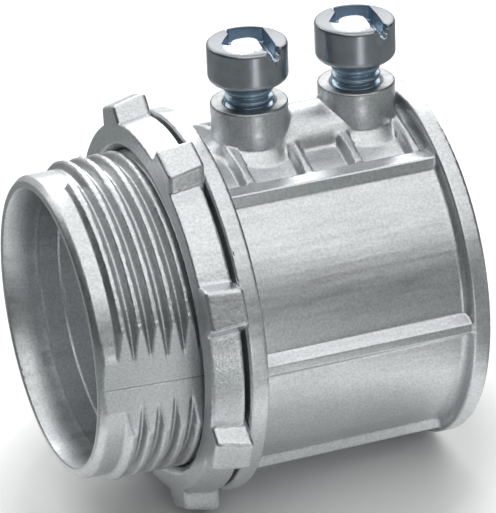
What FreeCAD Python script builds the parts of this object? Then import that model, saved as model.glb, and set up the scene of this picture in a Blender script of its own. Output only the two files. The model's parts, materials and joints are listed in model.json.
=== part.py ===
import FreeCAD, Part
import math
import os

# Conduit connector for 1 1/4 inch thin-wall steel conduit, with the locknut that
# clamps it in a box wall and the two set screws that grip the conduit.
# The body is one zinc die casting: a threaded nipple, a shoulder, a ribbed barrel
# with two screw bosses, and an end flange. It was cast in an upper and a lower die
# half, which meet on the plane z = 0.
# The conduit's axis is X. The shoulder face that seats on the box wall is x = 0,
# the nipple points to -X, the conduit enters from +X, and the screws stand up
# along +Z. All sizes are in millimetres.

# Socket, barrel and end flange
CONDUIT_R = 19.18
SOCKET_CLEARANCE = 0.22
CONDUIT_STOP_X = 1.0
ENTRY_CHAMFER = 0.6
BARREL_WALL = 2.6
BARREL_LENGTH = 28.45
SHOULDER_R = 25.15
SHOULDER_THICKNESS = 2.55
FLANGE_R = 23.85
FLANGE_THICKNESS = 2.45
FLANGE_COVE = 1.3
RIM_ROUND = 0.35

# Nipple and its cast thread
NIPPLE_LENGTH = 17.9
THROAT_R = 17.6
MOUTH_R = 18.3
MOUTH_LENGTH = 3.7
LIP_R = 19.1
LIP_LENGTH = 0.8
LIP_ROUND = 0.3
BAND_R = 19.8
THREAD_R = 20.8
THREAD_PITCH = 25.4 / 11.5
THREAD_DEPTH = 1.2
THREAD_ROOT_FLAT = 0.15
THREAD_FLANK_DEG = 30.0
FIRST_ROOT_FROM_END = 2.55
THREAD_START_DEG = 85.5
DIE_SHIFT = 0.75
PARTING_FLAT_Y = 19.5

# Ribs along the barrel
LONG_RIB_INNER_Y = 10.16
LONG_RIB_WIDTH = 2.77
LONG_RIB_TOP_Z = 19.55
LONG_RIB_ROUND = 0.15
MID_RIB_REACH = 1.6
MID_RIB_TIP = 1.3
MID_RIB_ROOT = 3.0
MID_RIB_ROUND = 0.3

# Screw bosses and the ridge that joins them, and the pockets and short ribs
BOSS_X = 10.8
SCREW_SPACING = 14.8
BOSS_R = 5.03
BOSS_TOP_Z = 26.35
BOSS_ROUND = 0.3
SKIRT_REACH = 1.4
SKIRT_STRETCH = 1.1
SKIRT_DEG = 51.0
RIDGE_R = 4.85
RIDGE_TOP_Z = 24.35
POCKET_DEPTH = 1.45
POCKET_DRAFT = 0.4
SHORT_RIB_OFFSET = 3.95
SHORT_RIB_WIDTH = 1.1

# Set screws, a quarter inch by twenty threads to the inch
SCREW_R = 3.175
SCREW_HOLE_CLEARANCE = 0.075
SCREW_HOLE_CHAMFER = 0.31
SCREW_PITCH = 1.27
SCREW_THREAD_DEPTH = 0.6
SCREW_ROOT_FLAT = 0.15
SCREW_SHANK = 9.5
SCREW_TIP_CHAMFER = 0.8
SCREW_CUP_R = 1.7
SCREW_CUP_DEPTH = 0.9
SCREW_CUP_FLOOR_R = 0.5
HEAD_R = 5.2
HEAD_HEIGHT = 5.4
HEAD_UNDER_ROUND = 1.9
HEAD_TOP_ROUND = 0.45
HEAD_CROWN = 0.2
FRONT_SCREW_STANDOFF = 2.85
REAR_SCREW_STANDOFF = 3.15

# Drive recess, punched off centre in the screw heads. Its floor runs round a nose and
# into a side arm, a thin wall is left at the back, and a slot breaks out of the side
RECESS_DEPTH = 2.2
RECESS_LEFT_X = -1.35
RECESS_LEFT_Y = 3.0
RECESS_LEFT_DEG = 96.5
RECESS_RIGHT_X = 3.35
RECESS_RIGHT_Y = 2.7
RECESS_RIGHT_DEG = 46.0
RECESS_ROUND = 0.25
SIDE_ARM_X = -3.35
SIDE_ARM_Y = 0.2
SIDE_ARM_END_X = -2.6
SIDE_ARM_END_Y = -0.95
NOSE_X = -0.2
NOSE_TIP_Y = 0.8
NOSE_R = 1.65
BACK_WALL_THICKNESS = 0.5
BACK_WALL_START_DEG = 43.5
BACK_WALL_END_DEG = 99.0
SLOT_DEG = -65.0
SLOT_MOUTH = 2.15
SLOT_FLOOR = 0.6
SLOT_DEPTH = 1.65
SLOT_RIM = 1.2
DRIVE_SOCKET_X = 0.8
DRIVE_SOCKET_Y = 2.2
DRIVE_SOCKET_R = 1.3
DRIVE_SOCKET_FLOOR_R = 0.7
DRIVE_SOCKET_DEPTH = 3.4

# Locknut, with lugs that bear on the shoulder
NUT_CLEARANCE = 0.15
NUT_WIDTH = 4.34
NUT_LUG_STAND = 0.54
NUT_SEAT_GAP = 0.02
NUT_WALL = 3.35
NUT_TAPER = 0.65
NUT_ROUND = 0.35
NUT_BORE_CHAMFER = 0.8
LUG_COUNT = 8
LUG_START_DEG = 22.8
LUG_FRONT_HEIGHT = 2.1
LUG_REAR_HEIGHT = 2.6
LUG_ROOT_WIDTH = 6.3
LUG_TIP_WIDTH = 4.3
LUG_ROUND = 0.6

# Places and radii that follow from the sizes above
SOCKET_R = CONDUIT_R + SOCKET_CLEARANCE
BARREL_R = SOCKET_R + BARREL_WALL
FLANGE_X = SHOULDER_THICKNESS + BARREL_LENGTH
END_X = FLANGE_X + FLANGE_THICKNESS
NIPPLE_X = -NIPPLE_LENGTH
BLANK_R = THROAT_R - 1.0
POCKET_FLOOR_R = BARREL_R - POCKET_DEPTH
BOSS_CENTRES = (BOSS_X, BOSS_X + SCREW_SPACING)
SCREW_HOLE_R = SCREW_R + SCREW_HOLE_CLEARANCE
NUT_BORE_R = THREAD_R + NUT_CLEARANCE
NUT_FRONT_R = NUT_BORE_R + NUT_WALL
NUT_REAR_R = NUT_FRONT_R + NUT_TAPER
LUG_FRONT_R = NUT_FRONT_R + LUG_FRONT_HEIGHT
LUG_REAR_R = NUT_REAR_R + LUG_REAR_HEIGHT
OVERLAP = 0.5
CLEAR = 2.0


# Drawing helpers
def vec(x, y, z):
    return FreeCAD.Vector(x, y, z)


def corner_parts(before, at, after, radius):
    """Start, middle and end of the arc that rounds one corner of an outline."""
    to_before = (before - at).normalize()
    to_after = (after - at).normalize()
    half = math.acos(max(-1.0, min(1.0, to_before.dot(to_after)))) / 2
    room = 0.48 * min((before - at).Length, (after - at).Length)
    reach = min(radius / math.tan(half), room)
    fitted = reach * math.tan(half)
    inward = (to_before + to_after).normalize()
    centre = at + inward * (fitted / math.sin(half))
    return at + to_before * reach, centre - inward * fitted, at + to_after * reach


def outline_face(corners, place):
    """Face inside corners (a, b) or (a, b, rounding); place turns a, b into a point."""
    points = [vec(corner[0], corner[1], 0) for corner in corners]
    arcs = []
    for index, corner in enumerate(corners):
        if len(corner) > 2 and corner[2] > 0:
            following = points[(index + 1) % len(points)]
            arcs.append(corner_parts(points[index - 1], points[index], following, corner[2]))
        else:
            arcs.append((points[index], None, points[index]))
    edges = []
    for index, (start, middle, end) in enumerate(arcs):
        last = arcs[index - 1][2]
        if (start - last).Length > 1e-6:
            edges.append(Part.makeLine(place(last.x, last.y), place(start.x, start.y)))
        if middle is not None:
            curve = [place(point.x, point.y) for point in (start, middle, end)]
            edges.append(Part.Arc(*curve).toShape())
    return Part.Face(Part.Wire(edges))


def turned(corners, start_deg=0.0, sweep_deg=360.0):
    """Solid turned about the X axis from corners (x, radius). Angles run from -Y to +Z."""
    face = outline_face(corners, lambda x, radius: vec(x, -radius, 0))
    face.rotate(vec(0, 0, 0), vec(1, 0, 0), -start_deg)
    return face.revolve(vec(0, 0, 0), vec(1, 0, 0), -sweep_deg)


def turned_upright(corners, x):
    """Solid turned about a vertical axis at x from corners (z, radius)."""
    face = outline_face(corners, lambda z, radius: vec(x + radius, 0, z))
    return face.revolve(vec(x, 0, 0), vec(0, 0, 1), 360)


def drawn_along_x(corners, start, end):
    """Prism between two X places from corners (y, z)."""
    face = outline_face(corners, lambda y, z: vec(start, y, z))
    return face.extrude(vec(end - start, 0, 0))


def mirrored(shape, normal):
    return shape.mirror(vec(0, 0, 0), normal)


def grooved_side(first_root, end, pitch, crest_r, depth, root_flat):
    """Corners (place, radius) of a V-grooved side, one groove for each pitch."""
    root_r = crest_r - depth
    half_flat = root_flat / 2
    half_mouth = half_flat + depth * math.tan(math.radians(THREAD_FLANK_DEG))
    corners = []
    root = first_root
    while root + half_mouth < end:
        corners.append((root - half_mouth, crest_r))
        corners.append((root - half_flat, root_r))
        corners.append((root + half_flat, root_r))
        corners.append((root + half_mouth, crest_r))
        root += pitch
    return corners


# Connector body
def nipple_sector(start_deg, sweep_deg, first_root):
    """Part of the nipple's circle. Up to its first root the outside is the plain band."""
    grooves = grooved_side(first_root, 0, THREAD_PITCH, THREAD_R, THREAD_DEPTH, THREAD_ROOT_FLAT)
    corners = [
        (NIPPLE_X, BLANK_R),
        (NIPPLE_X, LIP_R, LIP_ROUND),
        (NIPPLE_X + LIP_LENGTH, BAND_R, LIP_ROUND),
        (first_root - THREAD_ROOT_FLAT / 2, BAND_R),
    ]
    corners += grooves[1:]
    corners += [(OVERLAP, THREAD_R), (OVERLAP, BLANK_R)]
    return turned(corners, start_deg, sweep_deg)


def nipple():
    """The nipple. Each die half has its own rings, and flats hide the step between them."""
    first_root = NIPPLE_X + FIRST_ROOT_FROM_END
    with_first_crest = nipple_sector(0, THREAD_START_DEG, first_root)
    beyond_start = nipple_sector(THREAD_START_DEG, 180 - THREAD_START_DEG, first_root + THREAD_PITCH)
    lower_half = nipple_sector(180, 180, first_root + DIE_SHIFT)
    between_flats = Part.makeBox(
        NIPPLE_LENGTH + CLEAR,
        2 * PARTING_FLAT_Y,
        4 * THREAD_R,
        vec(NIPPLE_X - OVERLAP, -PARTING_FLAT_Y, -2 * THREAD_R),
    )
    return with_first_crest.multiFuse([beyond_start, lower_half]).common(between_flats)


def barrel():
    """Shoulder, barrel and end flange, still with a small blank hole."""
    return turned([
        (0, BLANK_R),
        (0, SHOULDER_R, RIM_ROUND),
        (SHOULDER_THICKNESS, SHOULDER_R, RIM_ROUND),
        (SHOULDER_THICKNESS, BARREL_R),
        (FLANGE_X, BARREL_R, FLANGE_COVE),
        (FLANGE_X, FLANGE_R, RIM_ROUND),
        (END_X, FLANGE_R, RIM_ROUND),
        (END_X, BLANK_R),
    ])


def long_ribs():
    """Four ribs with flat tops and upright sides, two above and two below."""
    outer_y = LONG_RIB_INNER_Y + LONG_RIB_WIDTH
    rooted_z = LONG_RIB_TOP_Z - LONG_RIB_WIDTH - POCKET_DEPTH
    rib = drawn_along_x([
        (LONG_RIB_INNER_Y - POCKET_DEPTH, rooted_z),
        (LONG_RIB_INNER_Y - POCKET_DEPTH, LONG_RIB_TOP_Z),
        (outer_y, LONG_RIB_TOP_Z, LONG_RIB_ROUND),
        (outer_y, rooted_z),
    ], SHOULDER_THICKNESS - OVERLAP, FLANGE_X + OVERLAP)
    upper = [rib, mirrored(rib, vec(0, 1, 0))]
    lower = [mirrored(shape, vec(0, 0, 1)) for shape in upper]
    return upper + lower


def mid_ribs():
    """Drafted ribs on the parting plane, one each side."""
    spread = (MID_RIB_ROOT - MID_RIB_TIP) / 2 / MID_RIB_REACH
    rooted_y = BARREL_R - OVERLAP
    root_half = MID_RIB_ROOT / 2 + OVERLAP * spread
    tip_y = BARREL_R + MID_RIB_REACH
    rib = drawn_along_x([
        (rooted_y, -root_half),
        (tip_y, -MID_RIB_TIP / 2, MID_RIB_ROUND),
        (tip_y, MID_RIB_TIP / 2, MID_RIB_ROUND),
        (rooted_y, root_half),
    ], SHOULDER_THICKNESS - OVERLAP, FLANGE_X + OVERLAP)
    return [rib, mirrored(rib, vec(0, 1, 0))]


def pockets():
    """Cutters for the drafted pockets between the upper long ribs."""
    half_rib = SHORT_RIB_WIDTH / 2
    walls = [SHOULDER_THICKNESS]
    for centre in BOSS_CENTRES:
        for rib_x in (centre - SHORT_RIB_OFFSET, centre + SHORT_RIB_OFFSET):
            walls += [rib_x - half_rib, rib_x + half_rib]
    walls.append(FLANGE_X)
    slope = POCKET_DRAFT / POCKET_DEPTH
    spread = slope * CLEAR
    window = Part.makeBox(
        END_X,
        2 * LONG_RIB_INNER_Y,
        2 * BARREL_R,
        vec(0, -LONG_RIB_INNER_Y, 0),
    )
    cutters = []
    for left, right in zip(walls[0::2], walls[1::2]):
        left_draft = 0 if left == SHOULDER_THICKNESS else 1
        right_draft = 0 if right == FLANGE_X else 1
        floor_left = left + left_draft * POCKET_DRAFT
        floor_right = right - right_draft * POCKET_DRAFT
        ring = turned([
            (floor_left, POCKET_FLOOR_R),
            (left - left_draft * spread, BARREL_R + CLEAR),
            (right + right_draft * spread, BARREL_R + CLEAR),
            (floor_right, POCKET_FLOOR_R),
        ])
        cutters.append(ring.common(window))
    return cutters


def skirt(x):
    """Sloping skirt of a boss, longer along the barrel than across it."""
    foot_r = BOSS_R + SKIRT_REACH
    foot_z = math.sqrt(POCKET_FLOOR_R ** 2 - foot_r ** 2)
    spread = 1 / math.tan(math.radians(SKIRT_DEG))
    rings = []
    for z in (foot_z - OVERLAP, BOSS_TOP_Z - CLEAR):
        across = foot_r - (z - foot_z) * spread
        ellipse = Part.Ellipse(vec(x, 0, z), across * SKIRT_STRETCH, across)
        rings.append(Part.Wire([ellipse.toShape()]))
    return Part.makeLoft(rings, True, True)


def boss(x):
    return turned_upright([
        (SOCKET_R - CLEAR, 0),
        (SOCKET_R - CLEAR, BOSS_R),
        (BOSS_TOP_Z, BOSS_R, BOSS_ROUND),
        (BOSS_TOP_Z, 0),
    ], x)


def ridge():
    """Round ridge from one boss to the other."""
    start = vec(BOSS_X, 0, RIDGE_TOP_Z - RIDGE_R)
    return Part.makeCylinder(RIDGE_R, SCREW_SPACING, start, vec(1, 0, 0))


def bore_cutter():
    """Bell mouth, throat, conduit stop, socket and entry chamfer."""
    before_mouth = NIPPLE_X - CLEAR
    bell_rise = MOUTH_R - THROAT_R
    bell_r = (MOUTH_LENGTH ** 2 + bell_rise ** 2) / (2 * bell_rise)
    half_turn = math.asin(MOUTH_LENGTH / bell_r) / 2
    middle_x = NIPPLE_X + MOUTH_LENGTH - bell_r * math.sin(half_turn)
    middle_r = THROAT_R + bell_r * (1 - math.cos(half_turn))
    bell = Part.Arc(
        vec(NIPPLE_X, MOUTH_R, 0),
        vec(middle_x, middle_r, 0),
        vec(NIPPLE_X + MOUTH_LENGTH, THROAT_R, 0),
    ).toShape()
    path = [
        (NIPPLE_X + MOUTH_LENGTH, THROAT_R),
        (CONDUIT_STOP_X, THROAT_R),
        (CONDUIT_STOP_X, SOCKET_R),
        (END_X - ENTRY_CHAMFER, SOCKET_R),
        (END_X, SOCKET_R + ENTRY_CHAMFER),
        (END_X + CLEAR, SOCKET_R + ENTRY_CHAMFER),
        (END_X + CLEAR, 0),
        (before_mouth, 0),
        (before_mouth, MOUTH_R),
        (NIPPLE_X, MOUTH_R),
    ]
    edges = [bell]
    for (x, radius), (next_x, next_radius) in zip(path, path[1:]):
        edges.append(Part.makeLine(vec(x, radius, 0), vec(next_x, next_radius, 0)))
    face = Part.Face(Part.Wire(Part.__sortEdges__(edges)))
    return face.revolve(vec(0, 0, 0), vec(1, 0, 0), 360)


def screw_hole(x):
    chamfer_r = SCREW_HOLE_R + SCREW_HOLE_CHAMFER
    return turned_upright([
        (SOCKET_R - CLEAR, 0),
        (SOCKET_R - CLEAR, SCREW_HOLE_R),
        (BOSS_TOP_Z - SCREW_HOLE_CHAMFER, SCREW_HOLE_R),
        (BOSS_TOP_Z, chamfer_r),
        (BOSS_TOP_Z + CLEAR, chamfer_r),
        (BOSS_TOP_Z + CLEAR, 0),
    ], x)


def connector_body():
    casting = barrel().multiFuse([nipple()] + long_ribs() + mid_ribs())
    casting = casting.cut(pockets())
    casting = casting.multiFuse([skirt(x) for x in BOSS_CENTRES])
    casting = casting.multiFuse([ridge()] + [boss(x) for x in BOSS_CENTRES])
    casting = casting.cut([bore_cutter()] + [screw_hole(x) for x in BOSS_CENTRES])
    return casting


# Locknut
def lug():
    """One lug, pointing to -Y. Its sides slope in, and its top rises to the rear."""
    front = -NUT_SEAT_GAP - NUT_LUG_STAND - NUT_WIDTH
    rear = -NUT_SEAT_GAP
    inner_r = (NUT_BORE_R + NUT_REAR_R) / 2
    rim_r = (NUT_FRONT_R + NUT_REAR_R) / 2
    tip_r = LUG_REAR_R + OVERLAP
    slope = (LUG_ROOT_WIDTH - LUG_TIP_WIDTH) / 2 / (LUG_REAR_R - rim_r)
    root_half = LUG_ROOT_WIDTH / 2 + slope * (rim_r - inner_r)
    tip_half = LUG_TIP_WIDTH / 2 - slope * OVERLAP
    across = drawn_along_x([
        (-inner_r, -root_half),
        (-tip_r, -tip_half),
        (-tip_r, tip_half),
        (-inner_r, root_half),
    ], front - OVERLAP, rear + OVERLAP)
    side = outline_face([
        (front, inner_r),
        (front, LUG_FRONT_R),
        (rear, LUG_REAR_R),
        (rear, inner_r),
    ], lambda x, radius: vec(x, -radius, -LUG_ROOT_WIDTH))
    block = across.common(side.extrude(vec(0, 0, 2 * LUG_ROOT_WIDTH)))
    raised = [edge for edge in block.Edges if edge.BoundBox.YMin < -rim_r]
    return block.makeFillet(LUG_ROUND, raised)


def locknut():
    """Cast ring with lugs. Only the lugs reach the shoulder."""
    rear = -NUT_SEAT_GAP - NUT_LUG_STAND
    front = rear - NUT_WIDTH
    chamfer_r = NUT_BORE_R + NUT_BORE_CHAMFER
    ring = turned([
        (front, chamfer_r),
        (front, NUT_FRONT_R, NUT_ROUND),
        (rear, NUT_REAR_R, NUT_ROUND),
        (rear, chamfer_r),
        (rear - NUT_BORE_CHAMFER, NUT_BORE_R),
        (front + NUT_BORE_CHAMFER, NUT_BORE_R),
    ])
    lugs = []
    for index in range(LUG_COUNT):
        piece = lug()
        turn = LUG_START_DEG + index * 360.0 / LUG_COUNT
        piece.rotate(vec(0, 0, 0), vec(1, 0, 0), -turn)
        lugs.append(piece)
    return ring.multiFuse(lugs).removeSplitter()


# Set screws
def around(radius, angle):
    """Plan place, from the screw's axis, at a radius and an angle."""
    turn = math.radians(angle)
    return vec(radius * math.cos(turn), radius * math.sin(turn), 0)


def recess_floor(x, top_z):
    """Cutter round the nose, open to the rim on both sides of the thin back wall."""
    rim = around(HEAD_R - SLOT_RIM, SLOT_DEG)
    half_slot = around(SLOT_MOUTH / 2, SLOT_DEG + 90)
    slot_left = rim - half_slot
    slot_right = rim + half_slot
    left_out = around(HEAD_R + CLEAR, RECESS_LEFT_DEG)
    right_out = around(HEAD_R + CLEAR, RECESS_RIGHT_DEG)
    floor = outline_face([
        (left_out.x, left_out.y),
        (RECESS_LEFT_X, RECESS_LEFT_Y, RECESS_ROUND),
        (SIDE_ARM_X, SIDE_ARM_Y, RECESS_ROUND),
        (SIDE_ARM_END_X, SIDE_ARM_END_Y, RECESS_ROUND),
        (NOSE_X - NOSE_R, NOSE_TIP_Y, NOSE_R),
        (NOSE_X + NOSE_R, NOSE_TIP_Y, NOSE_R),
        (slot_left.x, slot_left.y, RECESS_ROUND),
        (slot_right.x, slot_right.y, RECESS_ROUND),
        (RECESS_RIGHT_X, RECESS_RIGHT_Y, RECESS_ROUND),
        (right_out.x, right_out.y),
    ], lambda across, along: vec(x + across, along, top_z - RECESS_DEPTH))
    cutter = floor.extrude(vec(0, 0, RECESS_DEPTH + CLEAR))
    base = vec(x, 0, top_z - RECESS_DEPTH)
    height = RECESS_DEPTH + CLEAR
    sweep = BACK_WALL_END_DEG - BACK_WALL_START_DEG
    back_wall = Part.makeCylinder(HEAD_R + 2 * CLEAR, height, base, vec(0, 0, 1), sweep)
    back_wall = back_wall.cut(Part.makeCylinder(HEAD_R - BACK_WALL_THICKNESS, height, base))
    back_wall.rotate(base, vec(0, 0, 1), BACK_WALL_START_DEG)
    return cutter.cut(back_wall)


def slot_breakout(x, top_z):
    """V-shaped cutter that carries the slot out through the side of the head."""
    spread = (SLOT_MOUTH - SLOT_FLOOR) / 2 / SLOT_DEPTH
    open_half = SLOT_MOUTH / 2 + spread * CLEAR
    start = HEAD_R - SLOT_RIM - SLOT_FLOOR / 2
    section = outline_face([
        (-SLOT_FLOOR / 2, top_z - SLOT_DEPTH),
        (SLOT_FLOOR / 2, top_z - SLOT_DEPTH),
        (open_half, top_z + CLEAR),
        (-open_half, top_z + CLEAR),
    ], lambda across, z: vec(x + start, across, z))
    groove = section.extrude(vec(HEAD_R + CLEAR - start, 0, 0))
    groove.rotate(vec(x, 0, 0), vec(0, 0, 1), SLOT_DEG)
    return groove


def drive_socket(x, top_z):
    return turned_upright([
        (top_z - DRIVE_SOCKET_DEPTH, 0),
        (top_z - DRIVE_SOCKET_DEPTH, DRIVE_SOCKET_FLOOR_R),
        (top_z - RECESS_DEPTH, DRIVE_SOCKET_R),
        (top_z, DRIVE_SOCKET_R),
        (top_z, 0),
    ], x).translated(vec(DRIVE_SOCKET_X, DRIVE_SOCKET_Y, 0))


def drive_recess(x, top_z):
    return [recess_floor(x, top_z), slot_breakout(x, top_z), drive_socket(x, top_z)]


def set_screw(x, standoff):
    """Pan-head screw with a cup point. The standoff is from the boss to the head."""
    under_z = BOSS_TOP_Z + standoff
    tip_z = under_z - SCREW_SHANK
    top_z = under_z + HEAD_HEIGHT
    first_root = tip_z + SCREW_TIP_CHAMFER + SCREW_PITCH / 2
    corners = [
        (tip_z + SCREW_CUP_DEPTH, 0),
        (tip_z + SCREW_CUP_DEPTH, SCREW_CUP_FLOOR_R),
        (tip_z, SCREW_CUP_R),
        (tip_z, SCREW_R - SCREW_TIP_CHAMFER),
        (tip_z + SCREW_TIP_CHAMFER, SCREW_R),
    ]
    corners += grooved_side(first_root, under_z, SCREW_PITCH, SCREW_R, SCREW_THREAD_DEPTH, SCREW_ROOT_FLAT)
    corners += [
        (under_z, SCREW_R),
        (under_z, HEAD_R, HEAD_UNDER_ROUND),
        (top_z - HEAD_CROWN, HEAD_R, HEAD_TOP_ROUND),
        (top_z, HEAD_R - HEAD_TOP_ROUND - HEAD_UNDER_ROUND, HEAD_TOP_ROUND),
        (top_z, 0),
    ]
    return turned_upright(corners, x).cut(drive_recess(x, top_z)).removeSplitter()


def main():
    os.makedirs("parts", exist_ok=True)
    pieces = {
        "connector_body": connector_body(),
        "locknut": locknut(),
        "front_set_screw": set_screw(BOSS_CENTRES[0], FRONT_SCREW_STANDOFF),
        "rear_set_screw": set_screw(BOSS_CENTRES[1], REAR_SCREW_STANDOFF),
    }
    for name, shape in pieces.items():
        shape.exportStep("parts/" + name + ".step")
        print(name, len(shape.Solids), "solid,", round(shape.Volume), "mm3, valid", shape.isValid())


main()
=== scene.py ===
"""A zinc conduit connector with a locknut and two set screws: its finish, its light and its view."""
import json
import math

import bpy
from bpy.props import FloatProperty, FloatVectorProperty, IntProperty, PointerProperty
from mathutils import Matrix, Vector

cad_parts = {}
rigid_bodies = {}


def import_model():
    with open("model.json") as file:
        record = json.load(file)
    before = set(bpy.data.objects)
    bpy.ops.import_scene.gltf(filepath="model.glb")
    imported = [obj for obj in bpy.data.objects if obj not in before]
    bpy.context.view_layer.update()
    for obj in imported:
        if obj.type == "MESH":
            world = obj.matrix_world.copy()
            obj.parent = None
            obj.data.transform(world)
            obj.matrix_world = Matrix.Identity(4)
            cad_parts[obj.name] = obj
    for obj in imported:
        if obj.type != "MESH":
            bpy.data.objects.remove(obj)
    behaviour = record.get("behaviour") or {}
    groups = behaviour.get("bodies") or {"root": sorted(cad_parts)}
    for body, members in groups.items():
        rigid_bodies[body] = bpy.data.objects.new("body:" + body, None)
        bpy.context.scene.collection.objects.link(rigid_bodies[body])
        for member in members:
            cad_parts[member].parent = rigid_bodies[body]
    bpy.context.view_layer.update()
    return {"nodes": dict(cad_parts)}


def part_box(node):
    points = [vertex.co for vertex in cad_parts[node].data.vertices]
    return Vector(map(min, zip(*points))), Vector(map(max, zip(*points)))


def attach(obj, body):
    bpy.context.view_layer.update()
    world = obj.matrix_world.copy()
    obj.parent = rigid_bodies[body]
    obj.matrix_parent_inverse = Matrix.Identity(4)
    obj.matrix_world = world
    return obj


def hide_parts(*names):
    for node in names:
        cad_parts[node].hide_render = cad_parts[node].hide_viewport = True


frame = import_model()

bl_info = {
    "name": "Conduit connector finish",
    "version": (1, 0, 0),
    "blender": (4, 5, 0),
    "location": "3D View > Sidebar > Connector",
    "description": "Gives a set-screw conduit connector its cast and plated finish, and lays its stage",
    "category": "Object",
}

MM = 0.001
BODY_TRIANGLES = 190000
SMALL_PIECE_TRIANGLES = 90000

# ---------------------------------------------------------------- places and directions

# places on the part, in millimetres
BOSS_XS = (10.8, 25.6)
BOSS_CLEAR_R = 5.3
BOSS_FACE_Z = (26.2, 27.6)
POCKET_X = (2.9, 30.6)
POCKET_Y = 9.7
POCKET_Z = (19.9, 24.2)
POCKET_FLOOR_R = 19.9
CREST_X = (-16.5, -1.0)
CREST_R = 20.55
# the part of the thread whose flanks are painted darker as shade: x from and to, and half the width across
SHADED_FLANK_X = (-13.8, -0.8)
SHADED_FLANK_Y = 19.4
THREAD_ROOT_R = 19.4
THREAD_TOP_R = 20.9
THROAT_X = (-17.0, 0.8)
THROAT_SKIN_R = (17.0, 18.4)
# where the core's edge left a step in the throat, and the step's height as a part of the core mark
CORE_EDGE_X = -10.1
THROAT_STEP = 0.55
# x of each ring in the throat, and its height as a part of the core mark
THROAT_RINGS = ((-10.1, 1.0), (-13.3, 0.35), (-6.2, 0.8))
THROAT_RING_HALF = 0.3
FLAT_X = (-17.0, -2.0)
FLAT_FROM_Y = 19.2
FLAT_TO_Y = 21.6
RIM_Y = 22.5
SHOULDER_RIM_X = (0.0, 2.6)
FLANGE_RIM_X = 31.0
# the parting line on the flats: its height at SEAM_FROM_X, and how much it falls with each millimetre
SEAM_START_Z = -0.15
SEAM_SLOPE = 0.05
SEAM_FROM_X = -16.8
SEAM_HALF = 0.18
# a line of painted shade along the parting line on the flats: x from and to, and its half width
SEAM_SHADE_X = (-17.1, -1.9)
SEAM_SHADE_HALF = 0.09
# on a screw: depths below the head's top, and places beside the screw's axis
SLOT_MOUTH = (2.0, -4.5)
SLOT_MOUTH_DEPTH = 0.9
SLOT_MOUTH_R = 1.6
# the nose on the head's top, left bright as a painted highlight, and its radius
LIT_NOSE = (-1.04, -1.64)
LIT_NOSE_R = 2.5
RECESS_R = 4.9
RECESS_DEPTHS = (0.35, 3.5)
NECK_DEPTH = 5.3

# the two places it lies on: the locknut's lowest lugs, and the end flange's rim
LUG_X = -0.3
FLANGE_LOW_Z = -23.85
FLOOR_GAP = 0.03

# the camera's way round the object, its height and its roll in degrees, and the point it looks at
CAMERA_ANGLES = (-20.687, 25.67, -2.307)
CAMERA_AIM = (9.802 * MM, 0, 4.333 * MM)
# the picture is 513 pixels on its longer side, and its focal length is 3853.4 of them
SENSOR = 36
LENS = 3853.4 * SENSOR / 513
LAMPS = [
    # name, direction round the object and height above it in degrees, distance, width, depth, brightness
    ("top_softbox", 270, 88, 1.1, 1.6, 1.6, 1.15),
    ("back_softbox", 90, 40, 1.1, 1.7, 0.42, 2.3),
    ("front_softbox", 270, 42, 1.1, 1.7, 0.42, 1.15),
    ("front_strip", 270, 21, 1.1, 0.85, 0.32, 0.3),
    ("right_softbox", 62, 25, 1.1, 1.25, 0.4, 2.6),
    ("low_right_strip", 315, 7, 1.1, 0.6, 0.25, 0.7),
    ("low_back_strip", 105, 7, 1.1, 0.8, 0.2, 0.8),
    ("front_card", 276, -5, 0.107, 0.018, 0.03, 2.6),
]
# the ellipse on the floor where the object's shadow lies, and where the paper's glow starts and is full
SHADOW_MIDDLE = (8 * MM, -3 * MM, 0.0)
SHADOW_HALF = (26 * MM, 24 * MM)
GLOW_STARTS = 1.15
GLOW_FULL = 1.6
PAPER_EDGES = [
    # direction from the edge onto the paper, the edge's distance from the origin, half its fade
    ((0.516, 0.857, 0.0), -0.047, 0.008),
    ((0.949, -0.315, 0.0), -0.033, 0.006),
    ((-0.906, 0.424, 0.0), -0.052, 0.007),
]


def linear(code):
    """An sRGB hex colour as linear red, green, blue and alpha."""
    values = [int(code[i:i + 2], 16) / 255 for i in (1, 3, 5)]
    return tuple(v / 12.92 if v <= 0.04045 else ((v + 0.055) / 1.055) ** 2.4 for v in values) + (1.0,)


# ---------------------------------------------------------------- sizes and colours

class CastingSettings(bpy.types.PropertyGroup):
    """The cast zinc of the connector body and the locknut."""
    color: FloatVectorProperty(
        name="Zinc", description="Colour of the bare casting", subtype="COLOR", size=4,
        min=0, max=1, default=linear("#E8EAEC"))
    skin_color: FloatVectorProperty(
        name="Zinc skin", description="Colour of the casting's duller patches", subtype="COLOR", size=4,
        min=0, max=1, default=linear("#DBDEDF"))
    body_voxel: FloatProperty(
        name="Body edge size", description="Width of the softness that the die leaves on the body's edges",
        unit="LENGTH", default=0.19 * MM)
    nut_voxel: FloatProperty(
        name="Locknut edge size", description="Width of the softness of the locknut's edges", unit="LENGTH",
        default=0.2 * MM)
    flow_rounds: IntProperty(
        name="Pocket flow", description="Rounds of smoothing where skirts, short ribs and pocket floors meet",
        default=30)
    crest_wear: FloatProperty(
        name="Crest wear", description="How deep the thread's crests are worn", unit="LENGTH",
        default=0.1 * MM)
    core_mark: FloatProperty(
        name="Core mark", description="Height of the rings in the throat", unit="LENGTH", default=0.16 * MM)
    parting_line: FloatProperty(
        name="Parting line", description="Depth of the line where the die halves met", unit="LENGTH",
        default=0.07 * MM)
    grain: FloatProperty(
        name="Grain", description="Width of one grain of the sand-like casting skin", unit="LENGTH",
        default=0.32 * MM)


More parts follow.
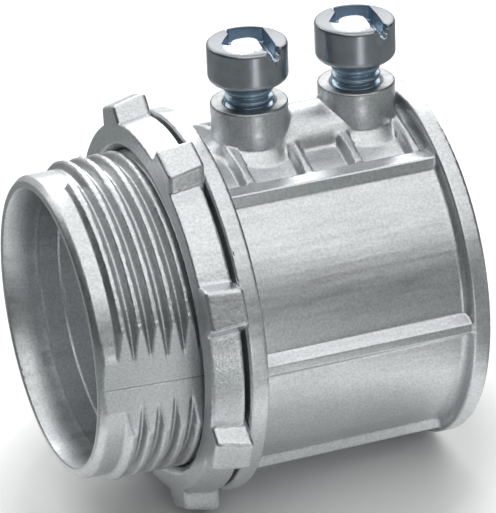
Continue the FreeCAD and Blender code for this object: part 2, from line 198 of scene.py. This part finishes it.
class ScrewSettings(bpy.types.PropertyGroup):
    """The plated steel of the set screws."""
    color: FloatVectorProperty(
        name="Zinc plate", description="Colour of the plated head", subtype="COLOR", size=4,
        min=0, max=1, default=linear("#B4B9BE"))
    recess_color: FloatVectorProperty(
        name="Blue passivation", description="Colour of the plating in the driver recess", subtype="COLOR",
        size=4, min=0, max=1, default=linear("#B6CADB"))
    burr: FloatProperty(
        name="Slot burr", description="Depth of the crumple at the slot's mouth", unit="LENGTH",
        default=0.45 * MM)
    voxel: FloatProperty(
        name="Screw edge size", description="Width of the softness of the screw's edges", unit="LENGTH",
        default=0.11 * MM)


class StageSettings(bpy.types.PropertyGroup):
    """The floor, the light and the camera."""
    floor_color: FloatVectorProperty(
        name="Floor", description="Colour of the paper floor", subtype="COLOR", size=4,
        min=0, max=1, default=linear("#F8F8F8"))
    table_color: FloatVectorProperty(
        name="Table", description="Colour of the table round the paper", subtype="COLOR", size=4,
        min=0, max=1, default=linear("#7C8080"))
    paper_glow: FloatProperty(
        name="Paper glow", description="How much of the paper's white doesn't depend on the lamps",
        default=0.36)
    fill: FloatProperty(
        name="Fill", description="Brightness of the room round the softboxes", default=0.05)
    floor_size: FloatProperty(
        name="Floor size", description="Length of the floor's sides", unit="LENGTH", default=2.4)
    camera_distance: FloatProperty(
        name="Camera distance", description="From the camera to the point it looks at", unit="LENGTH",
        default=0.5)


# ---------------------------------------------------------------- materials

def add(tree, kind, inputs=(), stops=(), **settings):
    """Adds one node. inputs are (socket, value or output) pairs, stops are a colour ramp's (place, colour)
    pairs, and settings are the node's own values or its inputs'."""
    node = tree.nodes.new(kind)
    for name, value in settings.items():
        if hasattr(node, name):
            setattr(node, name, value)
        else:
            node.inputs[name.replace("_", " ")].default_value = value
    for socket, source in inputs:
        if isinstance(source, bpy.types.NodeSocket):
            tree.links.new(source, node.inputs[socket])
        else:
            node.inputs[socket].default_value = source
    if stops:
        elements = node.color_ramp.elements
        elements[0].position, elements[0].color = stops[0]
        elements[1].position, elements[1].color = stops[-1]
        for place, color in stops[1:-1]:
            elements.new(place).color = color
    return node


def blank_material(name):
    """A material with only its output and its shader."""
    material = bpy.data.materials.new(name)
    material.use_nodes = True
    tree = material.node_tree
    tree.nodes.clear()
    output = tree.nodes.new("ShaderNodeOutputMaterial")
    shader = tree.nodes.new("ShaderNodeBsdfPrincipled")
    tree.links.new(shader.outputs["BSDF"], output.inputs["Surface"])
    return material, tree, shader


def grey(value):
    return (value, value, value, 1.0)


def darker(color, part):
    """This colour with its red, green and blue at a part of their values."""
    return tuple(c * part for c in color[:3]) + (1.0,)


def paint_shade_where(tree, place, tone, slabs, shade):
    """tone, multiplied by shade inside all the slabs, which paints shade into the colour. A slab has a
    direction, and holds the places whose dot product with it lies from low to high, in millimetres."""
    mask = 1.0
    for direction, low, high in slabs:
        along = add(tree, "ShaderNodeVectorMath", [(0, place), (1, direction)], operation="DOT_PRODUCT")
        inside = add(
            tree, "ShaderNodeMath",
            [(0, along.outputs["Value"]), (1, (low + high) / 2 * MM), (2, (high - low) / 2 * MM)],
            operation="COMPARE")
        mask = add(tree, "ShaderNodeMath", [(0, mask), (1, inside.outputs[0])],
                   operation="MULTIPLY").outputs[0]
    # the Mix node has sockets of the same name for each type, so the colour ones are given by number
    return add(tree, "ShaderNodeMix", [(0, mask), (6, tone), (7, shade)],
               data_type="RGBA", blend_type="MULTIPLY").outputs[2]


def thread_shade(tree, place, tone):
    """The nipple's thread: painted shade darkens the flanks, and the crests and roots keep their full tone as
    bright lines.
    """
    across = add(tree, "ShaderNodeVectorMath", [(0, place), (1, (0.0, 1.0, 1.0))], operation="MULTIPLY")
    radius = add(tree, "ShaderNodeVectorMath", [(0, across.outputs["Vector"])], operation="LENGTH")
    height = add(tree, "ShaderNodeMapRange", [("Value", radius.outputs["Value"])],
                 From_Min=THREAD_ROOT_R * MM, From_Max=THREAD_TOP_R * MM)
    # painted shade: the flanks take 0.66 of the tone, and the crests and roots keep all of it
    flank_shade = add(tree, "ShaderNodeValToRGB", [("Fac", height.outputs["Result"])],
               [(0.2, grey(1.0)), (0.3, grey(0.66)), (0.68, grey(0.66)), (0.78, grey(1.0))])
    on_thread = [((1, 0, 0), *SHADED_FLANK_X), ((0, 1, 0), -SHADED_FLANK_Y, SHADED_FLANK_Y)]
    return paint_shade_where(tree, place, tone, on_thread, flank_shade.outputs["Color"])


def seam_shade(tree, place, tone):
    """Painted shade in the parting line, along the nipple's two flats."""
    seam_z = SEAM_START_Z + SEAM_SLOPE * SEAM_FROM_X
    for low, high in ((-FLAT_TO_Y, -FLAT_FROM_Y), (FLAT_FROM_Y, FLAT_TO_Y)):
        on_seam = [((1, 0, 0), *SEAM_SHADE_X), ((0, 1, 0), low, high),
                   ((SEAM_SLOPE, 0, 1), seam_z - SEAM_SHADE_HALF, seam_z + SEAM_SHADE_HALF)]
        tone = paint_shade_where(tree, place, tone, on_seam, grey(0.6))
    return tone


def cast_zinc(name, settings, roughness, grain_strength, streak_strength, threaded=False):
    """Zinc casting alloy, die cast: a satin skin with fine grain, and duller where the metal flowed last."""
    material, tree, shader = blank_material(name)
    place = tree.nodes.new("ShaderNodeTexCoord").outputs["Object"]
    # dull patches of about 6 mm
    patches = add(tree, "ShaderNodeTexNoise", [("Vector", place)], Scale=1 / (6 * MM), Detail=3.0)
    # flow streaks along the axis, 9 mm long and 1.1 mm wide
    lengthwise = add(tree, "ShaderNodeMapping", [("Vector", place)],
                     Scale=(1 / (9 * MM), 1 / (1.1 * MM), 1 / (1.1 * MM)))
    streaks = add(tree, "ShaderNodeTexNoise", [("Vector", lengthwise.outputs["Vector"])], Scale=1.0,
                  Detail=4.0)
    # grains of the skin, and pits about twice as far apart
    grains = add(tree, "ShaderNodeTexNoise", [("Vector", place)], Scale=1 / settings.grain, Detail=2.0,
                 Roughness=0.6)
    pits = add(tree, "ShaderNodeTexVoronoi", [("Vector", place)], Scale=1 / (2.2 * settings.grain))
    skin = add(tree, "ShaderNodeMix",
               [(0, patches.outputs["Fac"]), (6, settings.color), (7, settings.skin_color)], data_type="RGBA")
    speckle = add(tree, "ShaderNodeValToRGB", [("Fac", grains.outputs["Fac"])],
                  [(0.35, grey(0.80)), (0.62, grey(1.0))])
    tone = add(tree, "ShaderNodeMix", [(0, 1.0), (6, skin.outputs[2]), (7, speckle.outputs["Color"])],
               data_type="RGBA", blend_type="MULTIPLY").outputs[2]
    if threaded:
        # painted shade on the thread's flanks and along the parting line
        tone = seam_shade(tree, place, thread_shade(tree, place, tone))
        # painted shade: the bosses' tops are darkened, for the shade under the screw heads
        tone = paint_shade_where(tree, place, tone, [((0, 0, 1), *BOSS_FACE_Z)], grey(0.45))
    tree.links.new(tone, shader.inputs["Base Color"])
    rough = add(tree, "ShaderNodeMapRange", [("Value", streaks.outputs["Fac"])], From_Min=0.3, From_Max=0.7,
                To_Min=roughness - 0.07, To_Max=roughness + 0.07)
    tree.links.new(rough.outputs["Result"], shader.inputs["Roughness"])
    # at full strength grains are 0.06 mm deep, pits 0.04 mm and streaks 0.05 mm
    bump = add(tree, "ShaderNodeBump", [("Height", grains.outputs["Fac"])],
               Strength=grain_strength, Distance=0.06 * MM)
    bump = add(tree, "ShaderNodeBump",
               [("Height", pits.outputs["Distance"]), ("Normal", bump.outputs["Normal"])],
               Strength=grain_strength * 0.5, Distance=0.04 * MM)
    bump = add(tree, "ShaderNodeBump",
               [("Height", streaks.outputs["Fac"]), ("Normal", bump.outputs["Normal"])],
               Strength=streak_strength, Distance=0.05 * MM)
    tree.links.new(bump.outputs["Normal"], shader.inputs["Normal"])
    shader.inputs["Metallic"].default_value = 1.0
    return material


def zinc_plate(name, color, roughness):
    """Steel, cold formed and zinc plated: smooth, with a haze of 1.6 mm patches and marks 0.25 mm wide."""
    material, tree, shader = blank_material(name)
    place = tree.nodes.new("ShaderNodeTexCoord").outputs["Object"]
    haze = add(tree, "ShaderNodeTexNoise", [("Vector", place)], Scale=1 / (1.6 * MM), Detail=3.0)
    tone = add(tree, "ShaderNodeValToRGB", [("Fac", haze.outputs["Fac"])],
               [(0.3, darker(color, 0.82)), (0.7, color)])
    tree.links.new(tone.outputs["Color"], shader.inputs["Base Color"])
    rough = add(tree, "ShaderNodeMapRange", [("Value", haze.outputs["Fac"])],
                To_Min=roughness - 0.06, To_Max=roughness + 0.08)
    tree.links.new(rough.outputs["Result"], shader.inputs["Roughness"])
    marks = add(tree, "ShaderNodeTexNoise", [("Vector", place)], Scale=1 / (0.25 * MM), Detail=2.0)
    bump = add(tree, "ShaderNodeBump", [("Height", marks.outputs["Fac"])], Strength=0.25, Distance=0.02 * MM)
    tree.links.new(bump.outputs["Normal"], shader.inputs["Normal"])
    shader.inputs["Metallic"].default_value = 1.0
    return material


def paper_sweep(settings):
    """Matt white paper round the object, on a pale grey table that shows in the metal in front."""
    paper, tree, shader = blank_material("Matt white paper")
    place = tree.nodes.new("ShaderNodeTexCoord").outputs["Object"]
    sheet = 1.0
    for across, distance, fade in PAPER_EDGES:
        side = add(tree, "ShaderNodeVectorMath", [(0, place), (1, across)], operation="DOT_PRODUCT")
        edge = add(tree, "ShaderNodeMapRange", [("Value", side.outputs["Value"])],
                   From_Min=distance - fade, From_Max=distance + fade)
        sheet = add(tree, "ShaderNodeMath", [(0, sheet), (1, edge.outputs["Result"])],
                    operation="MULTIPLY").outputs[0]
    color = add(tree, "ShaderNodeMix", [(0, sheet), (6, settings.table_color), (7, settings.floor_color)],
                data_type="RGBA")
    tree.links.new(color.outputs[2], shader.inputs["Base Color"])
    shader.inputs["Roughness"].default_value = 0.9
    shader.inputs["Specular IOR Level"].default_value = 0.2
    # a little of the paper's white is its own light, for the camera, mirrors and glass alike
    rays = tree.nodes.new("ShaderNodeLightPath").outputs
    seen = rays["Is Camera Ray"]
    for ray in ("Is Glossy Ray", "Is Transmission Ray"):
        seen = add(tree, "ShaderNodeMath", [(0, seen), (1, rays[ray])], operation="MAXIMUM").outputs[0]
    # the glow fades out under the object, where its shadow lies
    off = add(tree, "ShaderNodeVectorMath", [(0, place), (1, SHADOW_MIDDLE)], operation="SUBTRACT")
    off = add(tree, "ShaderNodeVectorMath",
              [(0, off.outputs["Vector"]), (1, (1 / SHADOW_HALF[0], 1 / SHADOW_HALF[1], 0.0))],
              operation="MULTIPLY")
    away = add(tree, "ShaderNodeVectorMath", [(0, off.outputs["Vector"])], operation="LENGTH")
    glow = add(tree, "ShaderNodeMapRange", [("Value", away.outputs["Value"])],
               From_Min=GLOW_STARTS, From_Max=GLOW_FULL, To_Max=settings.paper_glow)
    strength = add(tree, "ShaderNodeMath", [(0, seen), (1, glow.outputs["Result"])], operation="MULTIPLY")
    tree.links.new(color.outputs[2], shader.inputs["Emission Color"])
    tree.links.new(strength.outputs[0], shader.inputs["Emission Strength"])
    return paper


# ---------------------------------------------------------------- shared steps

def only(piece):
    """Selects this object alone and makes it the active one."""
    if bpy.context.mode != "OBJECT":
        bpy.ops.object.mode_set(mode="OBJECT")
    bpy.ops.object.select_all(action="DESELECT")
    piece.hide_set(False)
    piece.select_set(True)
    bpy.context.view_layer.objects.active = piece


def merged_copy(node, name):
    """A copy of a CAD node with its loose triangles merged, free of the node's parent."""
    only(frame["nodes"][node])
    bpy.ops.object.duplicate()
    piece = bpy.context.view_layer.objects.active
    piece.name = name
    piece.data.name = name
    bpy.ops.object.parent_clear(type="CLEAR_KEEP_TRANSFORM")
    bpy.ops.object.mode_set(mode="EDIT")
    bpy.ops.mesh.select_all(action="SELECT")
    bpy.ops.mesh.remove_doubles(threshold=0.002 * MM)
    bpy.ops.mesh.normals_make_consistent(inside=False)
    bpy.ops.object.mode_set(mode="OBJECT")
    return piece


def apply_modifier(piece, kind, **settings):
    """Adds one modifier and applies it."""
    modifier = piece.modifiers.new(kind.title(), kind)
    for name, value in settings.items():
        setattr(modifier, name, value)
    bpy.ops.object.modifier_apply(modifier=modifier.name)


def soften(piece, voxel, smooth_rounds):
    """Rounds every edge as a die or plating does."""
    apply_modifier(piece, "REMESH", mode="VOXEL", voxel_size=voxel)
    apply_modifier(piece, "SMOOTH", factor=0.5, iterations=smooth_rounds)


def weighted(piece, weight_of):
    """A vertex group that holds each vertex by weight_of(its place), from 0 to 1."""
    group = piece.vertex_groups.new(name="worked")
    for vertex in piece.data.vertices:
        weight = weight_of(vertex.co)
        if weight > 0:
            group.add([vertex.index], min(weight, 1.0), "REPLACE")
    return group


def press(piece, height, weight_of, grain=None):
    """Raises the surface by height where weight_of says so, or sinks it if height is below 0."""
    group = weighted(piece, weight_of)
    settings = {"strength": height, "mid_level": 0.0, "vertex_group": group.name}
    if grain:
        clouds = bpy.data.textures.new(piece.name + "_wear", "CLOUDS")
        clouds.noise_scale = grain
        clouds.intensity, clouds.contrast = 0.9, 1.3
        settings.update(texture=clouds, texture_coords="LOCAL")
    apply_modifier(piece, "DISPLACE", **settings)
    piece.vertex_groups.clear()


def blend_in(piece, rounds, weight_of):
    """Smooths the places that weight_of names, so that forms flow into each other."""
    group = weighted(piece, weight_of)
    apply_modifier(piece, "SMOOTH", factor=0.5, iterations=rounds, vertex_group=group.name)
    piece.vertex_groups.clear()


def thin(piece, most_triangles):
    """Thins the flat parts of the mesh and shades it smooth."""
    triangles = sum(len(p.vertices) - 2 for p in piece.data.polygons)
    if triangles > most_triangles:
        apply_modifier(piece, "DECIMATE", ratio=most_triangles / triangles)
    only(piece)
    bpy.ops.object.shade_smooth()
    # large flat faces keep their own direction, and the rounded edges between them take the turn
    apply_modifier(piece, "WEIGHTED_NORMAL", weight=60)


def finish(piece, materials, node, body):
    """Gives a piece its materials and its body, and hides the CAD node that it stands for."""
    piece.data.materials.clear()
    for material in materials:
        piece.data.materials.append(material)
    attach(piece, body)
    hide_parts(node)


# ---------------------------------------------------------------- places on the casting

def between(value, limits):
    """Whether value lies inside its two limits."""
    return limits[0] < value < limits[1]


def pocket_weight(place):
    """The floors of the pockets, with the short ribs and the skirts, but not the bosses' sides."""
    x, y, z = (v / MM for v in place)
    in_pocket = between(x, POCKET_X) and abs(y) < POCKET_Y and between(z, POCKET_Z)
    if not in_pocket or math.hypot(y, z) < POCKET_FLOOR_R:
        return 0.0
    return min(math.hypot(x - boss_x, y) for boss_x in BOSS_XS) - BOSS_CLEAR_R


def crest_weight(place):
    """The crests of the nipple's thread, outside the flats."""
    x, y, z = (v / MM for v in place)
    return 1.0 if between(x, CREST_X) and math.hypot(y, z) > CREST_R and abs(y) < FLAT_FROM_Y else 0.0


def throat_ring_weight(place):
    """Rings in the throat: the step at the core's edge with its ridge, and two fainter ones."""
    x, y, z = (v / MM for v in place)
    if not between(x, THROAT_X) or not between(math.hypot(y, z), THROAT_SKIN_R):
        return 0.0
    step = THROAT_STEP if x > CORE_EDGE_X else 0.0
    return max(step, *(high * (1 - abs(x - at) / THROAT_RING_HALF) for at, high in THROAT_RINGS))


def parting_weight(place):
    """The parting line: along the nipple's flats and over the rims of the shoulder and the end flange."""
    x, y, z = (v / MM for v in place)
    on_flat = between(x, FLAT_X) and abs(y) > FLAT_FROM_Y
    on_rim = abs(y) > RIM_Y and (between(x, SHOULDER_RIM_X) or x > FLANGE_RIM_X)
    line = SEAM_START_Z - SEAM_SLOPE * (x - SEAM_FROM_X) if on_flat else 0.0
    return 1 - abs(z - line) / SEAM_HALF if on_flat or on_rim else 0.0


# ---------------------------------------------------------------- pieces

class CONNECTOR_OT_body(bpy.types.Operator):
    """Softens the casting's edges and gives it its zinc skin"""
    bl_idname = "connector.body"
    bl_label = "Connector body"

    def execute(self, context):
        settings = context.scene.connector_casting
        piece = merged_copy("connector_body", "cast_body")
        soften(piece, settings.body_voxel, 1)
        # skirts, short ribs and pocket floors flow together under the bosses
        blend_in(piece, settings.flow_rounds, pocket_weight)
        # worn crests on the nipple's thread
        press(piece, -settings.crest_wear, crest_weight, 0.8 * MM)
        # rings that the die's core left in the throat
        press(piece, settings.core_mark, throat_ring_weight)
        # the fine line where the die halves met
        press(piece, -settings.parting_line, parting_weight)
        thin(piece, BODY_TRIANGLES)
        material = cast_zinc("Die cast zinc, tumbled", settings, 0.38, 0.22, 0.25, threaded=True)
        finish(piece, [material], "connector_body", "connector")
        return {"FINISHED"}


class CONNECTOR_OT_locknut(bpy.types.Operator):
    """Softens the locknut's edges and gives it its grainy skin"""
    bl_idname = "connector.locknut"
    bl_label = "Locknut"

    def execute(self, context):
        settings = context.scene.connector_casting
        piece = merged_copy("locknut", "cast_locknut")
        soften(piece, settings.nut_voxel, 2)
        thin(piece, SMALL_PIECE_TRIANGLES)
        material = cast_zinc("Die cast zinc, as cast", settings, 0.37, 0.6, 0.1)
        finish(piece, [material], "locknut", "nut")
        return {"FINISHED"}


class CONNECTOR_OT_screws(bpy.types.Operator):
    """Softens the set screws' edges and plates them"""
    bl_idname = "connector.screws"
    bl_label = "Set screws"

    def execute(self, context):
        settings = context.scene.connector_screws
        color = tuple(settings.color)
        plate = zinc_plate("Zinc plated steel", color, 0.3)
        blue = zinc_plate("Blue passivated zinc plate", tuple(settings.recess_color), 0.35)
        # a darker copy of the plate, for painted shade on the head's top
        shaded = zinc_plate("Zinc plated steel, hazy top", darker(color, 0.62), 0.4)
        for node, body in (("front_set_screw", "front_screw"), ("rear_set_screw", "rear_screw")):
            low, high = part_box(node)
            middle = Vector(((low[0] + high[0]) / 2, (low[1] + high[1]) / 2))
            piece = merged_copy(node, body + "_plated")
            soften(piece, settings.voxel, 1)
            # the slot's mouth is crumpled where the punch broke out
            mouth = Vector((middle.x + SLOT_MOUTH[0] * MM, middle.y + SLOT_MOUTH[1] * MM,
                            high[2] - SLOT_MOUTH_DEPTH * MM))
            press(piece, -settings.burr, lambda place: SLOT_MOUTH_R - (place - mouth).length / MM, 0.35 * MM)
            thin(piece, SMALL_PIECE_TRIANGLES)
            finish(piece, [plate, blue, shaded], node, body)
            # painted shade on the head's top, with the nose in front left bright as a painted highlight;
            # the recess and the thread keep the blue
            lit_nose = middle + Vector(LIT_NOSE) * MM
            top, floor = (high[2] - depth * MM for depth in RECESS_DEPTHS)
            neck = high[2] - NECK_DEPTH * MM
            for polygon in piece.data.polygons:
                centre, normal = polygon.center, polygon.normal
                out = centre.xy - middle
                hollow = out.dot(normal.xy) < 0 or normal.z > 0.7
                if (hollow and floor < centre.z < top and out.length < RECESS_R * MM) or centre.z < neck:
                    polygon.material_index = 1
                elif normal.z > 0.8 and centre.z > top and (centre.xy - lit_nose).length > LIT_NOSE_R * MM:
                    polygon.material_index = 2
        return {"FINISHED"}


# ---------------------------------------------------------------- stage

class CONNECTOR_OT_stage(bpy.types.Operator):
    """Lays the floor, hangs the lamps and sets the camera"""
    bl_idname = "connector.stage"
    bl_label = "Stage"

    def execute(self, context):
        settings = context.scene.connector_stage
        scene = context.scene
        # the connector lies on the locknut's two lowest lugs and on the end flange's rim
        lug_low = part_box("locknut")[0][2]
        flange_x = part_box("connector_body")[1][0]
        tilt = math.atan2(FLANGE_LOW_Z * MM - lug_low, flange_x - LUG_X * MM)
        bpy.ops.object.select_all(action="DESELECT")
        bpy.ops.mesh.primitive_plane_add(size=settings.floor_size)
        floor = context.object
        floor.name = "paper_floor"
        under_lugs = Matrix.Translation((LUG_X * MM, 0, lug_low - FLOOR_GAP * MM))
        floor.data.transform(under_lugs @ Matrix.Rotation(-tilt, 4, "Y"))
        floor.data.materials.append(paper_sweep(settings))

        for name, around, height, distance, width, depth, brightness in LAMPS:
            around, height = math.radians(around), math.radians(height)
            flat = math.cos(height)
            towards = Vector((flat * math.cos(around), flat * math.sin(around), math.sin(height)))
            bpy.ops.object.light_add(type="AREA", location=towards * distance)
            lamp = context.object
            lamp.name = name
            lamp.data.shape = "RECTANGLE"
            lamp.data.size, lamp.data.size_y = width, depth
            lamp.data.energy = brightness * math.pi * width * depth
            lamp.rotation_euler = towards.to_track_quat("Z", "Y").to_euler()

        world = bpy.data.worlds.new("Studio")
        scene.world = world
        world.use_nodes = True
        room = world.node_tree.nodes["Background"]
        room.inputs["Color"].default_value = (0.95, 1.0, 0.98, 1.0)
        room.inputs["Strength"].default_value = settings.fill

        side, rise, roll = (math.radians(a) for a in CAMERA_ANGLES)
        back = Vector((math.sin(side) * math.cos(rise), -math.cos(side) * math.cos(rise), math.sin(rise)))
        right = Vector((math.cos(side), math.sin(side), 0))
        up = back.cross(right)
        across = right * math.cos(roll) + up * math.sin(roll)
        upward = up * math.cos(roll) - right * math.sin(roll)
        position = Vector(CAMERA_AIM) + back * settings.camera_distance
        bpy.ops.object.camera_add()
        camera = context.object
        camera.matrix_world = Matrix((
            (across.x, upward.x, back.x, position.x),
            (across.y, upward.y, back.y, position.y),
            (across.z, upward.z, back.z, position.z),
            (0, 0, 0, 1)))
        camera.data.sensor_width = SENSOR
        camera.data.lens = LENS
        camera.data.clip_start = 0.01
        camera.data.clip_end = 20
        scene.camera = camera
        scene.view_settings.view_transform = "Standard"
        return {"FINISHED"}


class CONNECTOR_PT_panel(bpy.types.Panel):
    """The connector's sizes, colours and steps"""
    bl_label = "Conduit connector"
    bl_idname = "CONNECTOR_PT_panel"
    bl_space_type = "VIEW_3D"
    bl_region_type = "UI"
    bl_category = "Connector"

    def draw(self, context):
        for group in GROUPS:
            settings = getattr(context.scene, group)
            for name in settings.__annotations__:
                self.layout.prop(settings, name)
        for step in STEPS:
            self.layout.operator(step.bl_idname)


GROUPS = {
    "connector_casting": CastingSettings,
    "connector_screws": ScrewSettings,
    "connector_stage": StageSettings,
}
STEPS = (CONNECTOR_OT_body, CONNECTOR_OT_locknut, CONNECTOR_OT_screws, CONNECTOR_OT_stage)
CLASSES = (*GROUPS.values(), *STEPS, CONNECTOR_PT_panel)


def register():
    for item in CLASSES:
        bpy.utils.register_class(item)
    for name, group in GROUPS.items():
        setattr(bpy.types.Scene, name, PointerProperty(type=group))


def unregister():
    for name in GROUPS:
        delattr(bpy.types.Scene, name)
    for item in reversed(CLASSES):
        bpy.utils.unregister_class(item)


def main():
    register()
    bpy.ops.connector.body()
    bpy.ops.connector.locknut()
    bpy.ops.connector.screws()
    bpy.ops.connector.stage()


if __name__ == "__main__":
    main()
